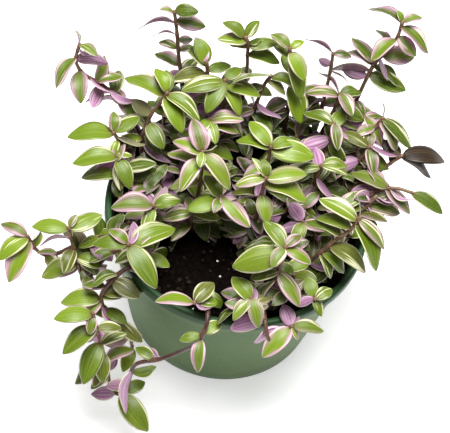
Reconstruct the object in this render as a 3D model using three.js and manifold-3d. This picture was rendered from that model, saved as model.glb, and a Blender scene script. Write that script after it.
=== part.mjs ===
// Potted turtle vine: a nursery pot filled with soil, and a crowd of short leafy stems.
// Millimetres, +Z up. The origin is the centre of the pot's foot, +Y is the back.
import * as THREE from 'three';
import { mergeVertices } from 'three/examples/jsm/utils/BufferGeometryUtils.js';
import Module from 'manifold-3d';

const wasm = await Module();
wasm.setup();

const GAP = 0.35; // air between neighbouring solids

const POT = {
  height: 102,
  rimRadius: 75, // outside of the rolled rim
  footRadius: 57,
  wall: 1.8,
  lipHeight: 7,
  lipWidth: 4,
  sides: 32,
};
const DRAIN = { count: 4, radius: 6, ringRadius: 43, floorUnder: 3, floorTop: 4.8 };
const SOIL = { top: 90, mound: 3 };
const STEM = { radius: 1.4, tipRadius: 0.95, sides: 4, step: 13 };
const SHEATH = { wall: 0.75, below: 1.5, beyondTip: 1.6 }; // leaf bases wrapped round a stem
const LEAF = { width: 0.58, thickness: 0.09, arch: 0.09, cup: 0.05, droop: 0.1 };

// Every crown is a rooted cutting: its shoots all start at one point under the soil.
// route: where the stem runs, from just above the soil to its tip.
// leaves: [distance down from the tip, heading, lift, length, roll], angles in degrees.
// A heading of 0 points along +X and 90 along +Y. A roll of 0 turns the blade's face up.
const CROWNS = {
  left_back: {
    root: [-48, 32],
    sprig: {
      route: [[-54, 44, 106], [-66, 55, 126], [-75, 57, 136], [-87, 58, 146], [-91, 60, 151],
        [-92, 61, 157], [-90, 64, 165]],
      leaves: [[0, 118, 50, 10, 60], [1, 100, 40, 9, 60], [0, 322, 10, 12], [3, 330, 0, 9, 150],
        [9, 235, -10, 19, 20], [10, 358, 5, 17, -105], [18, 272, -15, 18], [26, 330, 0, 16, 120],
        [30, 70, 30, 15, 60],
        [31, 10, 10, 14], [34, 250, -10, 14, 150], [40, 340, -5, 18, 150], [42, 198, -10, 15, 70],
        [54, 120, 10, 14], [62, 330, 0, 15]],
    },
    left_high: {
      route: [[-54, 34, 110], [-51, 38, 134], [-45, 42, 144], [-42, 43, 151]],
      leaves: [[0, 118, 25, 16], [1, 88, 30, 14], [4, 150, 5, 25], [2, 328, -10, 22], [4, 298, -20, 21],
        [8, 10, -5, 18], [18, 130, 0, 15, 150], [24, 300, -10, 16, 20], [36, 190, 0, 16], [48, 330, 0, 15]],
    },
    left_low: {
      route: [[-60, 27, 110], [-66, 28, 122], [-71, 30, 131]],
      leaves: [[1, 182, 0, 25], [0, 28, 10, 17], [0, 92, 30, 12, 20], [2, 155, 10, 8],
        [4, 355, -5, 16, 150],
        [6, 250, -20, 10], [16, 200, -5, 16], [26, 340, -5, 15], [36, 190, 0, 14]],
    },
  },
  left_wall: {
    root: [-49, 2],
    left_middle: {
      route: [[-60, 11, 110], [-66, 15, 119], [-69, 18, 126]],
      leaves: [[1, 190, 0, 24], [0, 0, 0, 8], [4, 275, -20, 15], [2, 292, -15, 17], [12, 180, -10, 24],
        [8, 300, -10, 14, 150], [22, 330, -5, 15], [32, 200, 0, 14]],
    },
    left_inner: {
      route: [[-48, -10, 110], [-50, -15, 122], [-50, -18, 131]],
      leaves: [[0, 180, 0, 22], [1, 15, 10, 15], [3, 250, -15, 14], [2, 60, 10, 14, 160], [14, 190, 0, 15],
        [26, 340, 0, 14], [36, 200, 0, 13]],
    },
  },
  left_edge: {
    root: [-49, -28],
    left_front: {
      route: [[-55, -35, 110], [-60, -39, 120], [-64, -41, 129]],
      leaves: [[1, 178, 0, 18], [2, 305, -15, 25], [4, 27, 8, 27], [0, 140, 20, 13], [3, 80, 20, 14, 150],
        [5, 40, 10, 17], [18, 200, -5, 14], [28, 340, -5, 14]],
    },
    trailer_upper: {
      route: [[-64, -25, 109], [-77, -26, 111], [-91, -27, 104], [-105, -28, 95], [-113, -26, 99],
        [-117, -24, 109]],
      leaves: [[0, 150, 5, 16], [1, 215, -5, 19], [4, 242, -15, 24], [6, 60, 10, 10, 90], [10, 60, 20, 9],
        [24, 290, -10, 8, 150], [36, 320, -10, 11, 150], [38, 295, -20, 9, 160], [34, 12, 5, 16],
        [54, 200, -5, 14],
        [62, 340, -5, 14]],
    },
    trailer_middle: {
      route: [[-63, -32, 109], [-73, -35, 108], [-80, -38, 98], [-84, -37, 87], [-88, -35, 89],
        [-91, -34, 106],
        [-94, -31, 120], [-95, -30, 127]],
      leaves: [[1, 175, 0, 19], [0, 55, 30, 8], [1, 22, 5, 19], [8, 190, -5, 16, 70], [30, 200, -10, 20],
        [34, 190, -20, 12], [40, 25, 5, 15, 160], [52, 85, 30, 13, 60], [72, 200, -5, 13]],
    },
    trailer_rim: {
      route: [[-59, -42, 107], [-67, -46, 108], [-76, -52, 98], [-76, -53, 84], [-69, -55, 74],
        [-62, -55, 66],
        [-60, -57, 56], [-58, -59, 47]],
      leaves: [[0, 250, -20, 14], [10, 200, 0, 14, 160], [43, 310, -15, 12, 150], [50, 178, 0, 21],
        [48, 225, -10, 12], [56, 8, 5, 24], [64, 120, 10, 10, 150],
        [80, 20, 0, 13]],
    },
  },
  front_edge: {
    root: [-20, -48],
    trailer_long: {
      route: [[-21, -66, 107], [-22, -77, 108], [-26, -82, 97], [-32, -79, 82], [-44, -79, 71],
        [-57, -79, 65],
        [-60, -80, 50], [-61, -82, 39], [-67, -83, 36], [-71, -79, 42], [-73, -75, 56], [-76, -73, 72],
        [-79, -71, 88], [-82, -68, 103]],
      leaves: [[1, 185, 0, 20], [3, 262, -30, 9], [12, 218, -10, 21], [13, 5, 0, 13], [26, 242, -15, 22],
        [28, 25, 5, 15], [36, 268, -25, 15], [44, 28, 5, 17], [46, 208, -10, 19], [52, 230, -10, 12],
        [54, 60, 10, 10, 150], [74, 310, -15, 25], [98, 262, -25, 22, 110], [118, 130, 10, 9, 160],
        [116, 140, 0, 12],
        [96, 15, 0, 14, 60], [156, 262, -25, 16], [154, 285, -30, 12, 110], [160, 35, 5, 12],
        [158, 185, -5, 11]],
    },
    front_left: {
      route: [[-26, -58, 106], [-28, -64, 112], [-29, -69, 116]],
      leaves: [[0, 178, 0, 20, 35], [1, 48, 10, 15], [2, 345, -10, 9, 150], [4, 0, -5, 12],
        [20, 200, 0, 13],
        [32, 340, 0, 13]],
    },
  },
  front: {
    root: [8, -50],
    front_centre: {
      route: [[4, -60, 106], [2, -70, 111], [1, -68, 120]],
      leaves: [[2, 130, 10, 16], [1, 222, -15, 14], [0, 285, -30, 15], [4, 80, 10, 10, 160], [6, 30, 0, 12],
        [24, 190, 0, 13], [36, 340, 0, 13]],
    },
    front_right: {
      route: [[9, -64, 106], [9, -77, 109], [11, -83, 103], [15, -82, 97], [20, -79, 98], [24, -77, 106]],
      leaves: [[0, 355, 0, 17], [1, 300, -25, 7], [2, 225, -15, 20], [5, 200, -5, 19, 100],
        [1, 105, 20, 13, 150],
        [6, 60, 10, 14, 150], [34, 192, -10, 18, 160], [50, 20, 0, 13]],
    },
    front_middle: {
      route: [[14, -55, 108], [16, -55, 128], [17, -51, 144]],
      leaves: [[1, 124, 10, 18], [1, 232, -10, 12], [6, 185, -5, 26, -35], [0, 35, 10, 11],
        [2, 335, -10, 15],
        [18, 195, -10, 15], [20, 305, -20, 20], [26, 230, -10, 12, 60], [28, 350, -5, 12],
        [40, 180, 0, 13]],
    },
  },
  right_front: {
    root: [32, -34],
    right_front: {
      route: [[35, -40, 108], [39, -42, 122], [46, -40, 132], [54, -37, 139], [58, -34, 147]],
      leaves: [[3, 150, 5, 23], [9, 153, 0, 19], [16, 145, 0, 20], [2, 322, -15, 19], [5, 303, -25, 25],
        [24, 328, -10, 23], [30, 322, -25, 16], [32, 300, -20, 13], [0, 105, 30, 15, 60], [44, 200, -5, 14],
        [54, 330, -5, 14]],
    },
    front_right_inner: {
      route: [[34, -50, 104], [35, -60, 110], [36, -66, 115]],
      leaves: [[0, 35, 5, 11], [1, 200, 0, 10, 150], [3, 300, -20, 10], [2, 110, 20, 12], [12, 190, 0, 13],
        [22, 350, 0, 13]],
    },
    centre_right: {
      route: [[31, -25, 106], [32, -21, 122]],
      leaves: [[0, 120, 10, 13, 150], [1, 250, -15, 13], [2, 350, -5, 14], [3, 190, 0, 12, 150],
        [12, 30, 0, 13],
        [24, 200, 0, 13]],
    },
  },
  right_wall: {
    root: [52, -2],
    right_dark: {
      route: [[66, 9, 111], [77, 13, 119], [85, 17, 124], [91, 19, 129]],
      leaves: [[0, 2, -5, 26, 0], [1, 335, -15, 20, -10], [2, 125, 10, 14, 150], [8, 80, 10, 14, 20],
        [18, 200, 0, 14], [28, 330, -10, 14]],
    },
    right_reach: {
      route: [[62, -1, 112], [76, 1, 120], [86, 0, 124], [95, -3, 124]],
      leaves: [[0, 328, -10, 20], [14, 155, 5, 22], [15, 322, -15, 18], [13, 335, 5, 15, 140],
        [18, 115, 20, 15],
        [24, 215, -5, 14, 140], [34, 330, -5, 14], [44, 180, 0, 14]],
    },
    right_low: {
      route: [[60, -11, 105], [68, -8, 114], [75, -4, 122]],
      leaves: [[2, 355, -10, 12, 150], [0, 345, 0, 10, 140], [8, 355, -20, 13, 160], [5, 170, 0, 16, 140],
        [16, 200, -5, 14], [26, 330, -10, 13]],
    },
  },
  right_back: {
    root: [55, 19],
    right_back: {
      route: [[66, 29, 112], [73, 33, 128], [80, 37, 140]],
      leaves: [[0, 95, 40, 9, 50], [1, 320, -20, 22], [3, 303, -25, 18], [8, 200, 0, 12],
        [16, 340, -10, 14],
        [26, 190, 0, 15], [36, 330, 0, 14]],
    },
    right_thicket: {
      route: [[62, 20, 112], [69, 21, 123], [72, 23, 132]],
      leaves: [[0, 345, -5, 16, 150], [1, 150, 10, 18], [2, 280, -15, 14], [3, 80, 20, 13],
        [12, 200, 0, 15, 150],
        [24, 330, -5, 13]],
    },
  },
  back_right: {
    root: [52, 34],
    tall_right: {
      route: [[57, 40, 110], [65, 50, 128], [70, 56, 148], [74, 60, 160], [80, 62, 169],
        [83, 63, 178], [84, 65, 189]],
      leaves: [[1, 148, 10, 20, 20], [0, 10, 15, 11], [0, 120, 40, 7], [3, 322, -15, 19],
        [10, 315, -15, 14, 40],
        [12, 222, -10, 18, 20], [18, 110, 30, 9, 60], [20, 122, 20, 14, 20], [32, 132, 15, 19],
        [34, 140, 0, 17],
        [26, 5, 0, 18, 30], [34, 330, -15, 17], [28, 290, -15, 12, 150], [40, 338, -10, 22, 40],
        [38, 178, 0, 22, 70],
        [42, 155, 10, 16, 150], [54, 200, 0, 15], [64, 330, 0, 15]],
    },
    back_thicket: {
      route: [[60, 36, 112], [67, 39, 124], [71, 42, 134]],
      leaves: [[0, 300, -20, 18], [1, 120, 20, 14], [2, 200, 0, 14, 150], [3, 20, 0, 13],
        [12, 320, -10, 15],
        [24, 190, 0, 14, 150], [34, 340, 0, 13]],
    },
  },
  slim: {
    root: [44, 44],
    slim_sprig: {
      route: [[48, 52, 122], [49, 56, 148], [49, 58, 160], [48, 57, 171]],
      leaves: [[0, 150, 10, 17, 60], [1, 0, 0, 10], [12, 140, 0, 8, 150], [16, 320, 0, 12, -60],
        [30, 190, 0, 15],
        [42, 20, 0, 15], [54, 200, 0, 14]],
    },
    thicket_high: {
      route: [[50, 44, 118], [54, 47, 134], [55, 48, 147]],
      leaves: [[0, 300, -10, 14], [1, 130, 10, 18, 60], [2, 175, 0, 18], [3, 20, 0, 14],
        [10, 330, -10, 17, 30],
        [20, 190, 0, 15], [32, 340, 0, 14]],
    },
  },
  right_middle: {
    root: [44, 15],
    thicket_middle: {
      route: [[48, 26, 112], [51, 31, 126], [52, 34, 138]],
      leaves: [[0, 275, -20, 14], [1, 150, 0, 18], [2, 340, -5, 15, 150], [4, 60, 10, 14],
        [12, 200, 0, 16, 150],
        [24, 330, 0, 14], [36, 180, 0, 13]],
    },
    thicket_low: {
      route: [[42, 9, 112], [43, 8, 134]],
      leaves: [[0, 345, -5, 15], [1, 10, 0, 15], [2, 190, 0, 14], [3, 100, 10, 13, 150],
        [12, 310, -10, 15, 150],
        [24, 200, 0, 14], [34, 340, 0, 13, 150]],
    },
  },
  back_bright: {
    root: [29, 48],
    back_bright: {
      route: [[29, 52, 122], [28, 58, 147], [24, 59, 172]],
      leaves: [[0, 138, 15, 13], [1, 35, 15, 9], [3, 300, -20, 16], [8, 130, 0, 13], [14, 298, -30, 18],
        [30, 288, -35, 22], [22, 100, 20, 14], [38, 20, 0, 15], [48, 190, 0, 15], [58, 330, 0, 15]],
    },
  },
  back_centre: {
    root: [7, 50],
    back_centre: {
      route: [[4, 62, 118], [4, 66, 145], [3, 67, 156], [2, 66, 167], [0, 67, 171]],
      leaves: [[0, 150, 25, 15], [1, 50, 30, 12], [3, 178, 5, 16], [5, 15, 20, 8, 70], [9, 165, -5, 10],
        [8, 2, 10, 16], [16, 345, 0, 18], [30, 200, 0, 16], [42, 340, 0, 16], [54, 180, 0, 15]],
    },
    back_inner: {
      route: [[9, 52, 116], [11, 53, 135], [13, 53, 148], [16, 54, 154]],
      leaves: [[0, 193, 0, 23, 40], [1, 345, 0, 16], [4, 325, -10, 12], [10, 200, 0, 10],
        [34, 12, 10, 15, 170],
        [30, 205, 0, 14], [48, 330, 0, 14]],
    },
  },
  back_left: {
    root: [-20, 55],
    tall_left: {
      route: [[-29, 62, 118], [-34, 68, 145], [-36, 69, 160], [-38, 70, 175], [-40, 70, 187]],
      leaves: [[0, 355, 20, 13, 40], [1, 175, 20, 8], [8, 350, 5, 16, 40], [10, 184, 0, 20, 55],
        [19, 178, 0, 13, 55],
        [24, 10, 10, 8, 30], [30, 160, 10, 11], [32, 15, 10, 9], [44, 148, 5, 16], [48, 215, 0, 10, 100],
        [58, 350, 0, 15], [66, 190, 0, 16]],
    },
    tall_inner: {
      route: [[-16, 58, 122], [-18, 60, 140], [-20, 61, 156]],
      leaves: [[0, 122, 30, 15, 150], [2, 115, 35, 16], [4, 135, 30, 17], [8, 20, 10, 14], [10, 195, 0, 20],
        [16, 213, 0, 18, 160], [28, 330, 0, 16], [40, 160, 0, 16]],
    },
  },
  back_middle: {
    root: [-13, 38],
    back_middle: {
      route: [[-10, 47, 118], [-9, 50, 136], [-10, 52, 152]],
      leaves: [[1, 237, -15, 20], [2, 190, 0, 24], [0, 40, 10, 12], [6, 305, -20, 16], [4, 345, 0, 20],
        [18, 170, 0, 16], [30, 320, 0, 16], [42, 200, 0, 14]],
    },
    middle: {
      route: [[-17, 34, 112], [-18, 35, 124], [-18, 36, 137]],
      leaves: [[0, 235, 0, 12], [2, 5, 5, 19], [4, 345, -5, 17], [1, 280, -10, 14], [14, 170, 0, 16],
        [26, 340, 0, 15], [38, 200, 0, 14]],
    },
  },
  left_centre: {
    root: [-24, -6],
    left_tall: {
      route: [[-24, -1, 120], [-24, 0, 138], [-25, 1, 155]],
      leaves: [[0, 110, 30, 19], [1, 100, 25, 17], [2, 152, 5, 17], [2, 315, -15, 22], [0, 260, -10, 9],
        [6, 230, -15, 20], [1, 30, 10, 9, 100], [12, 148, 0, 20], [14, 350, -5, 16], [26, 190, 0, 16],
        [38, 340, 0, 16], [50, 180, 0, 15]],
    },
    low_inner: {
      route: [[-28, -13, 106], [-28, -15, 121]],
      leaves: [[0, 195, 0, 16], [2, 350, 0, 15], [4, 100, 10, 12], [14, 220, 0, 14], [24, 30, 0, 14]],
    },
  },
  centre: {
    root: [3, -4],
    centre_front: {
      route: [[7, -15, 110], [8, -13, 130], [9, -11, 149]],
      leaves: [[1, 190, 0, 16], [0, 125, 20, 13, 30], [0, 95, 35, 10], [1, 5, 5, 22], [6, 342, -5, 24],
        [16, 192, -5, 21, 60], [14, 278, -25, 15], [36, 160, 10, 10, 70], [34, 335, -10, 14],
        [46, 200, -5, 14]],
    },
    centre_left: {
      route: [[-12, -11, 110], [-14, -13, 123], [-14, -14, 135]],
      leaves: [[0, 312, -15, 22], [2, 118, 10, 16], [1, 250, 0, 10], [4, 200, 0, 18], [14, 20, 0, 15],
        [24, 190, 0, 16], [34, 320, 0, 14]],
    },
    centre_back: {
      route: [[13, 9, 114], [14, 12, 130], [14, 13, 144]],
      leaves: [[0, 128, 15, 19], [2, 157, 0, 19], [1, 15, 10, 15], [3, 350, 0, 24, 20], [16, 210, 0, 15],
        [26, 340, 0, 16], [38, 170, 0, 14]],
    },
  },
};

const COLOURS = {
  pot: { color: 0x4c6b45, roughness: 0.5, metalness: 0 },
  soil: { color: 0x16120f, roughness: 1, metalness: 0 },
  stem: { color: 0x5a3a34, roughness: 0.6, metalness: 0 },
  leaf: { color: 0x86a83a, roughness: 0.45, metalness: 0 },
};

const radians = THREE.MathUtils.degToRad;

function named(name, geometry, look) {
  const mesh = new THREE.Mesh(geometry, new THREE.MeshStandardMaterial(look));
  mesh.name = name;
  return mesh;
}

function toSolid(geometry) {
  const bare = geometry.clone();
  bare.deleteAttribute('normal');
  bare.deleteAttribute('uv');
  const welded = mergeVertices(bare, 1e-4);
  return new wasm.Manifold(new wasm.Mesh({
    numProp: 3,
    vertProperties: Float32Array.from(welded.attributes.position.array),
    triVerts: Uint32Array.from(welded.index.array),
  }));
}

function toGeometry(solid) {
  const mesh = solid.getMesh();
  const geometry = new THREE.BufferGeometry();
  geometry.setAttribute('position', new THREE.BufferAttribute(Float32Array.from(mesh.vertProperties), 3));
  geometry.setIndex(new THREE.BufferAttribute(Uint32Array.from(mesh.triVerts), 1));
  geometry.computeVertexNormals();
  return geometry;
}

function unite(solids) {
  return wasm.Manifold.union(solids);
}

// A cut can leave loose slivers: only the biggest piece is kept.
function biggestPiece(solid) {
  const pieces = solid.decompose();
  return pieces.reduce((best, piece) => (piece.volume() > best.volume() ? piece : best));
}

function lathe(profile, sides) {
  const points = profile.map(([r, z]) => new THREE.Vector2(r, z));
  return new THREE.LatheGeometry(points, sides).rotateX(Math.PI / 2);
}

// Outer radius of the pot's wall at height z, which widens evenly from foot to lip.
function wallRadius(z) {
  const top = POT.rimRadius - 2;
  return POT.footRadius + (top - POT.footRadius) * (z / POT.height);
}

function potSolid() {
  const { height, rimRadius, wall, lipHeight, lipWidth, footRadius } = POT;
  const under = height - lipHeight;
  const floor = DRAIN.floorTop;
  const body = toSolid(lathe([
    [0, 0],
    [35, 0],
    [36, DRAIN.floorUnder],
    [50, DRAIN.floorUnder],
    [51, 0],
    [footRadius - 1, 0],
    [wallRadius(1), 1],
    [wallRadius(under), under],
    [rimRadius - 0.6, under + 0.4],
    [rimRadius, height - 1.4],
    [rimRadius - 1, height],
    [rimRadius - lipWidth + 0.6, height],
    [rimRadius - lipWidth, height - 1],
    [wallRadius(under) - wall, under],
    [wallRadius(floor) - wall - 1, floor],
    [0, floor - 2],
  ], POT.sides));
  const holes = [];
  for (let i = 0; i < DRAIN.count; i += 1) {
    const angle = (2 * Math.PI * i) / DRAIN.count;
    const hole = new THREE.CylinderGeometry(DRAIN.radius, DRAIN.radius, 12, 16).rotateX(Math.PI / 2);
    hole.translate(DRAIN.ringRadius * Math.cos(angle), DRAIN.ringRadius * Math.sin(angle), 3);
    holes.push(toSolid(hole));
  }
  return body.subtract(unite(holes));
}

// The room that the pot's wall and lip need, for leaves and stems to stay out of.
function potRoom() {
  const { height, rimRadius, lipHeight, lipWidth } = POT;
  const under = height - lipHeight;
  const ring = [
    [wallRadius(60) - 3, 60],
    [wallRadius(60) + GAP, 60],
    [wallRadius(under) + GAP, under - 1],
    [rimRadius + GAP, under - 0.2],
    [rimRadius + GAP, height + GAP],
    [rimRadius - lipWidth - GAP, height + GAP],
    [rimRadius - lipWidth - GAP - 2, under],
  ];
  const outside = [
    [0, -1],
    [wallRadius(0) + GAP, -1],
    ...ring.slice(1),
    [0, height - 12],
  ];
  return toSolid(lathe(outside, POT.sides * 2));
}

function soilSolid() {
  const inset = POT.wall + 0.6;
  return toSolid(lathe([
    [0, DRAIN.floorTop + GAP],
    [wallRadius(DRAIN.floorTop) - inset - 1, DRAIN.floorTop + GAP],
    [wallRadius(SOIL.top - 2) - inset, SOIL.top - 2],
    [wallRadius(SOIL.top) - inset - 5, SOIL.top - 1],
    [50, SOIL.top],
    [20, SOIL.top + SOIL.mound * 0.6],
    [0, SOIL.top + SOIL.mound * 0.7],
  ], POT.sides));
}

// A stem's line from its root to its tip, with a frame at each of its even steps.
function stemLine(root, route) {
  const start = [root[0], root[1], SOIL.top - 6];
  const knots = [start, ...route].map((p) => new THREE.Vector3(...p));
  const curve = new THREE.CatmullRomCurve3(knots, false, 'catmullrom', 0.5);
  const length = curve.getLength();
  const steps = Math.max(4, Math.round(length / STEM.step));
  const frames = curve.computeFrenetFrames(steps, false);
  const points = curve.getSpacedPoints(steps);
  return { curve, length, steps, frames, points };
}

// A closed tube along a stem, from one step to another, with a radius for each step.
function tube(line, first, radiusAt, beyondTip) {
  const { sides } = STEM;
  const positions = [];
  const index = [];
  const count = line.steps - first + 1;
  for (let i = 0; i < count; i += 1) {
    const step = first + i;
    const centre = line.points[step].clone();
    if (step === line.steps) {
      centre.addScaledVector(line.frames.tangents[step], beyondTip);
    }
    const radius = radiusAt(step / line.steps);
    for (let k = 0; k < sides; k += 1) {
      const angle = (2 * Math.PI * k) / sides;
      const point = centre.clone()
        .addScaledVector(line.frames.normals[step], radius * Math.cos(angle))
        .addScaledVector(line.frames.binormals[step], radius * Math.sin(angle));
      positions.push(point.x, point.y, point.z);
      if (i + 1 < count) {
        const a = i * sides + k;
        const b = i * sides + ((k + 1) % sides);
        index.push(a, b, b + sides, a, b + sides, a + sides);
      }
    }
  }
  for (let k = 1; k + 1 < sides; k += 1) {
    const end = (count - 1) * sides;
    index.push(0, k + 1, k, end, end + k, end + k + 1);
  }
  return solidFrom(positions, index);
}

function solidFrom(positions, index) {
  const geometry = new THREE.BufferGeometry();
  geometry.setAttribute('position', new THREE.Float32BufferAttribute(positions, 3));
  geometry.setIndex(index);
  return toSolid(geometry);
}

function stemRadius(u) {
  return STEM.radius + (STEM.tipRadius - STEM.radius) * u;
}

// One blade: a thin closed lens, pointed at both ends, arched along and cupped across.
function leafSolid(line, [fromTip, heading, lift, length, roll = 0], grow = 0) {
  const u = Math.max(0, 1 - fromTip / line.length);
  const node = line.curve.getPointAt(u);
  const tangent = line.curve.getTangentAt(u);
  const h = radians(heading);
  const l = radians(lift);
  const along = new THREE.Vector3(Math.cos(l) * Math.cos(h), Math.cos(l) * Math.sin(h), Math.sin(l));
  const face = new THREE.Vector3(0, 0, 0.7).addScaledVector(tangent, 0.3);
  face.addScaledVector(along, -face.dot(along)).normalize().applyAxisAngle(along, radians(roll));
  const across = new THREE.Vector3().crossVectors(along, face);
  const out = along.clone().addScaledVector(tangent, -along.dot(tangent)).normalize();
  const base = node.clone().addScaledVector(out, stemRadius(u) + GAP);
  const place = (t, side, up) => {
    const height = LEAF.arch * length * Math.sin(Math.PI * t) + up;
    return base.clone()
      .addScaledVector(along, length * t)
      .addScaledVector(across, side)
      .addScaledVector(face, height)
      .add(new THREE.Vector3(0, 0, -LEAF.droop * length * t * t));
  };
  const half = LEAF.width * length * 0.5;
  const points = [place(-grow / length, 0, 0)];
  for (const [t, wide] of [[0.28, 0.92], [0.66, 0.86]]) {
    const side = half * wide + 2 * grow;
    const rise = LEAF.cup * length;
    const thick = 0.5 * LEAF.thickness * length * wide * 0.5 + 1.4 * grow;
    points.push(place(t, -side, rise), place(t, 0, thick), place(t, side, rise), place(t, 0, -thick));
  }
  points.push(place(1 + grow / length, 0, 0));
  const index = [];
  for (let k = 0; k < 4; k += 1) {
    const next = (k + 1) % 4;
    index.push(0, 1 + next, 1 + k);
    index.push(1 + k, 1 + next, 5 + next, 1 + k, 5 + next, 5 + k);
    index.push(9, 5 + k, 5 + next);
  }
  return solidFrom(points.flatMap((p) => [p.x, p.y, p.z]), index);
}

// All leaves of one shoot, joined by the sheaths that wrap its stem.
function leavesSolid(line, leaves, grow = 0) {
  const lowest = Math.max(...leaves.map((leaf) => leaf[0]));
  const first = Math.max(1, Math.floor(line.steps * (1 - (lowest + SHEATH.below) / line.length)));
  const outer = (u) => stemRadius(u) + GAP + SHEATH.wall + grow;
  const sleeve = tube(line, first, outer, SHEATH.beyondTip + grow);
  return unite([sleeve, ...leaves.map((leaf) => leafSolid(line, leaf, grow))]);
}

function stemRoom(line) {
  return tube(line, 0, (u) => stemRadius(u) + GAP, GAP);
}

// Every shoot's line, by its name, with the crown that it grows from.
function allShoots() {
  const shoots = [];
  for (const [crown, { root, ...members }] of Object.entries(CROWNS)) {
    for (const [name, { route, leaves }] of Object.entries(members)) {
      shoots.push({ crown, name, leaves, line: stemLine(root, route) });
    }
  }
  return shoots;
}

function build() {
  const group = new THREE.Group();
  const shoots = allShoots();
  const stemSpace = unite(shoots.map((shoot) => stemRoom(shoot.line)));
  const pot = potSolid();
  group.add(named('pot', toGeometry(pot), COLOURS.pot));
  group.add(named('soil', toGeometry(biggestPiece(soilSolid().subtract(stemSpace))), COLOURS.soil));

  for (const crown of Object.keys(CROWNS)) {
    const own = shoots.filter((shoot) => shoot.crown === crown);
    const stems = unite(own.map((shoot) => tube(shoot.line, 0, stemRadius, 0)));
    group.add(named(`stems_${crown}`, toGeometry(stems), COLOURS.stem));
  }

  let taken = unite([stemSpace, potRoom(), soilSolid()]);
  for (const shoot of shoots) {
    const solid = biggestPiece(leavesSolid(shoot.line, shoot.leaves).subtract(taken));
    group.add(named(`leaves_${shoot.name}`, toGeometry(solid), COLOURS.leaf));
    taken = taken.add(leavesSolid(shoot.line, shoot.leaves, GAP));
  }
  return group;
}

export default build();
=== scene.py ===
"""Potted turtle vine: the looks of the plant, its soil and its pot. Metres, +Z up, +Y towards the back."""
import math
import random

import bpy
from mathutils import Matrix, Vector


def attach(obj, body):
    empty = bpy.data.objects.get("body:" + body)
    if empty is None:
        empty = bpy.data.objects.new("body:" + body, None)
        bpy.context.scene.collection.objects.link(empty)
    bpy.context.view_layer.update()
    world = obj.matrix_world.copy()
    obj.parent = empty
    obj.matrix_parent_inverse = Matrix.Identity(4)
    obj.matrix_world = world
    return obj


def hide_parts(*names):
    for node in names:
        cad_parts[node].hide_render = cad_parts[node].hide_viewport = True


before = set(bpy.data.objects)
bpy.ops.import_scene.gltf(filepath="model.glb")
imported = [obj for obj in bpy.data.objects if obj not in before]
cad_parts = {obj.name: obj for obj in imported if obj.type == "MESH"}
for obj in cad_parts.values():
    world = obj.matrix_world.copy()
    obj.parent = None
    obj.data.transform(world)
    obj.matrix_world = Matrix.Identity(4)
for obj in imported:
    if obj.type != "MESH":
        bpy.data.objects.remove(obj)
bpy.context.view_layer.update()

MM = 0.001

# The pot and the soil, in millimetres.
RIM_RADIUS = 75
FOOT_RADIUS = 57
POT_HEIGHT = 102
LIP_HEIGHT = 7
LIP_WIDTH = 4
WALL = 1.8
SOIL_TOP = 90

# Stems and leaves, in millimetres or as shares of a leaf's length.
STEM_RADIUS = 1.4
STEM_TIP_RADIUS = 0.95
LEAF_WIDTH = 0.6
LEAF_ARCH = 0.09
LEAF_CUP = 0.05
LEAF_DROOP = 0.1
LEAF_THICKNESS = 0.55
SHADED = 0.3  # painted shade: how bright the leaves deep in the crowd are painted
UNDERGROWTH = 52  # short shoots between the tall ones
# Patches of soil that the undergrowth leaves bare: x, y, half width and half depth.
BARE = [(-18, -31, 33, 28), (13, 47, 16, 13), (48, -40, 14, 14), (-4, 38, 8, 8)]
# Painted light and shade: how bright each shoot's leaves are painted, and how far they lean towards pink. A
# brightness under 0 paints them near-black, as painted shade.
PAINTED_LIGHT_AND_PINK = {
    "sprig": (0.8, 0.4),
    "left_high": (0.9, -0.25),
    "left_low": (0.85, -0.2),
    "left_inner": (0.85, 0.1),
    "left_tall": (0.95, 0.1),
    "tall_left": (0.45, 0.2),
    "back_centre": (0.75, -0.3),
    "back_bright": (0.95, -0.3),
    "back_inner": (0.6, 0.0),
    "tall_right": (0.5, 0.1),
    "slim_sprig": (0.35, 0.2),
    "thicket_high": (0.65, 0.35),
    "back_thicket": (0.6, 0.4),
    "right_thicket": (0.6, 0.4),
    "right_back": (0.5, 0.0),
    "right_reach": (0.6, 0.0),
    "right_low": (0.6, 0.4),
    "right_dark": (-1.0, 0.0),
    "right_front": (0.7, -0.2),
    "front_middle": (0.75, 0.25),
    "thicket_middle": (0.65, 0.35),
    "trailer_upper": (0.85, -0.05),
    "front_right": (0.85, 0.15),
}

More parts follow.
